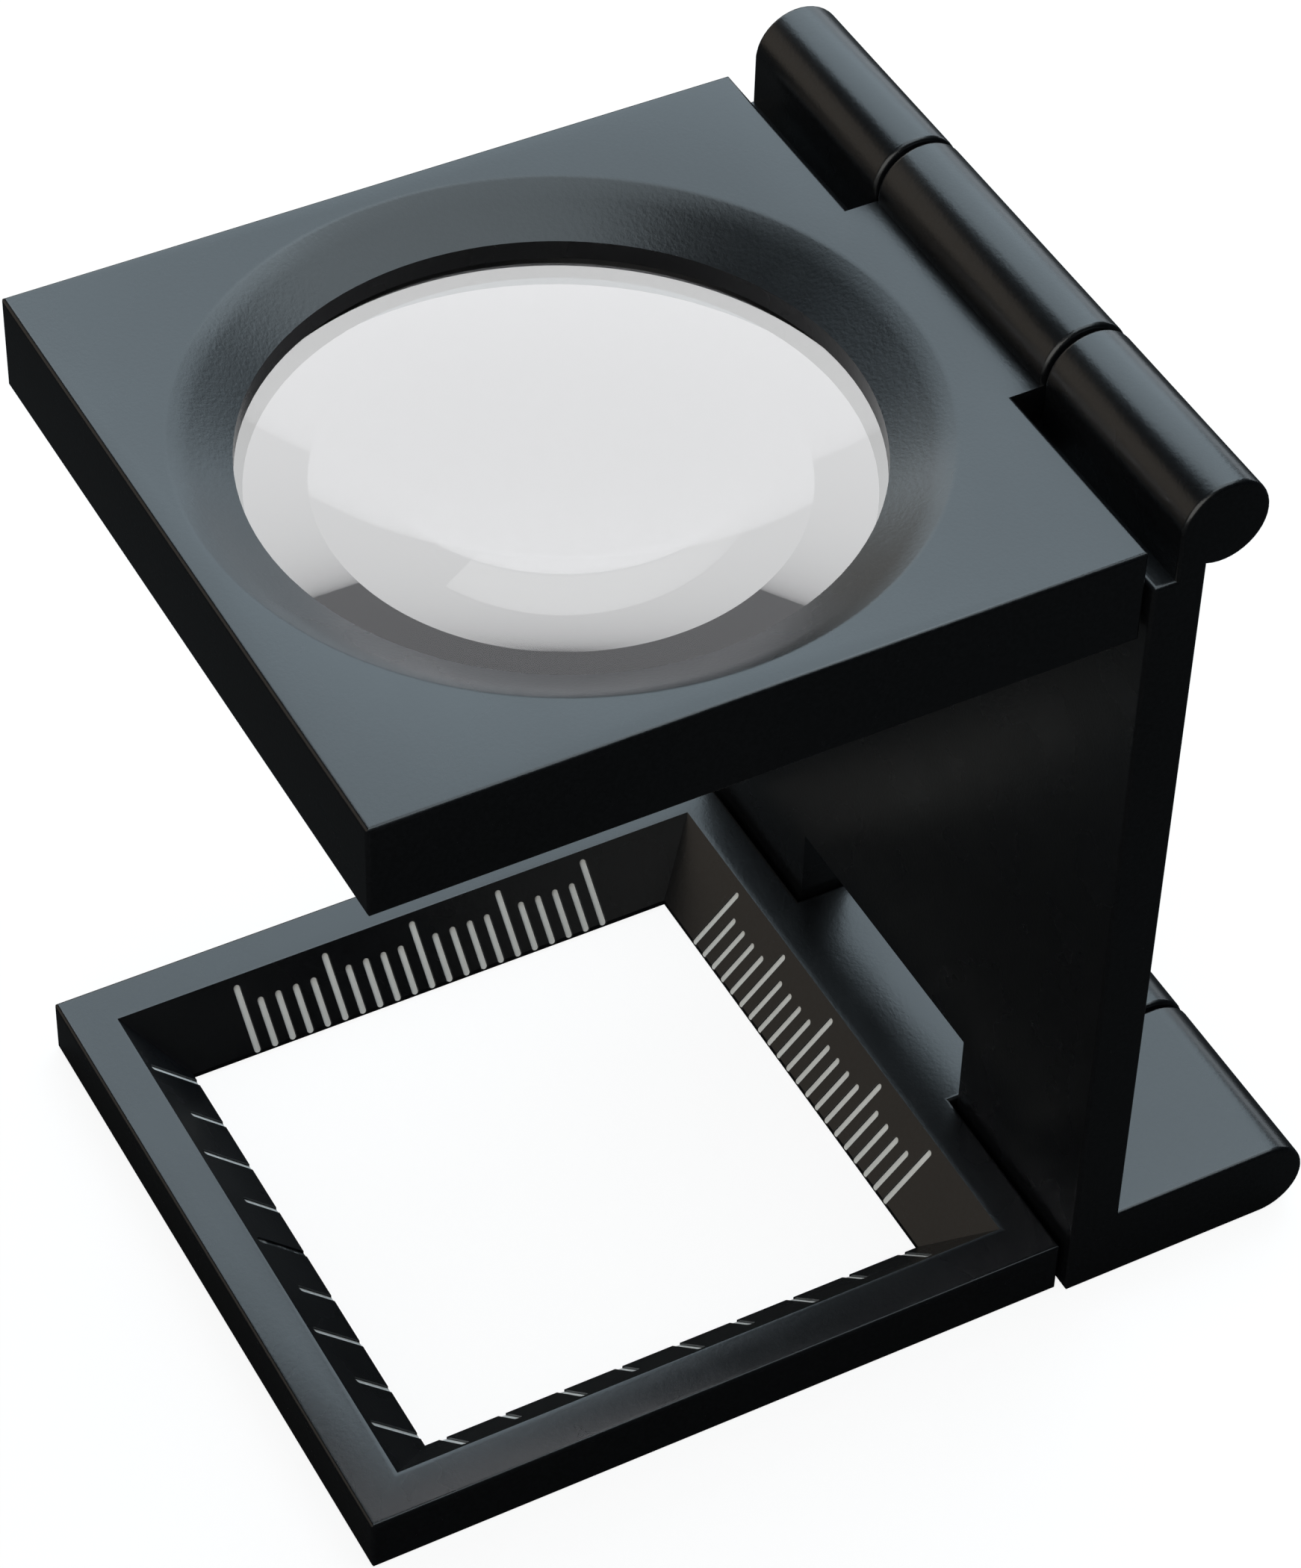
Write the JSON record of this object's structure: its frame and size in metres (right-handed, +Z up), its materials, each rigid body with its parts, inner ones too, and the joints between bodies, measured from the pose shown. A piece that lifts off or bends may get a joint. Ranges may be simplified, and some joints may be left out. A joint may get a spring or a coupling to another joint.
{
  "type": "linen tester",
  "caption": "Folding linen tester: a hinged upright holds a round lens in a square plate over a base frame with a scaled viewing window.",
  "frame": {"origin": "under the middle of the whole object, on the surface that it stands on", "axes": "+X along both hinges, towards the side with the inch scale; +Y from the front edge to the hinges; +Z up"},
  "size_m": [0.038, 0.0514, 0.0519],
  "materials": {
    "black_paint": "satin",
    "white_paint": "matt",
    "steel": "bare",
    "lens_glass": "polished"
  },
  "bodies": {
    "base": {"base_frame": "black_paint", "side_millimetre_marks": "white_paint", "hinge_millimetre_marks": "white_paint", "front_inch_marks": "white_paint", "near_inch_marks": "white_paint"},
    "standing_wall": {"upright": "black_paint", "lower_hinge_pin": "steel", "upper_hinge_pin": "steel"},
    "lens_holder": {"lens_plate": "black_paint", "lens": "lens_glass", "lens_retaining_ring": "black_paint"}
  },
  "joints": [
    {"name": "lower_hinge", "type": "hinge", "parent": "base", "child": "standing_wall", "pos_m": [0, 0.02347, 0.00225], "axis": [-1, 0, 0], "range_deg": [0, 270]},
    {"name": "upper_hinge", "type": "hinge", "parent": "standing_wall", "child": "lens_holder", "pos_m": [0, 0.01547, 0.04965], "axis": [-1, 0, 0], "range_deg": [0, 270]}
  ]
}
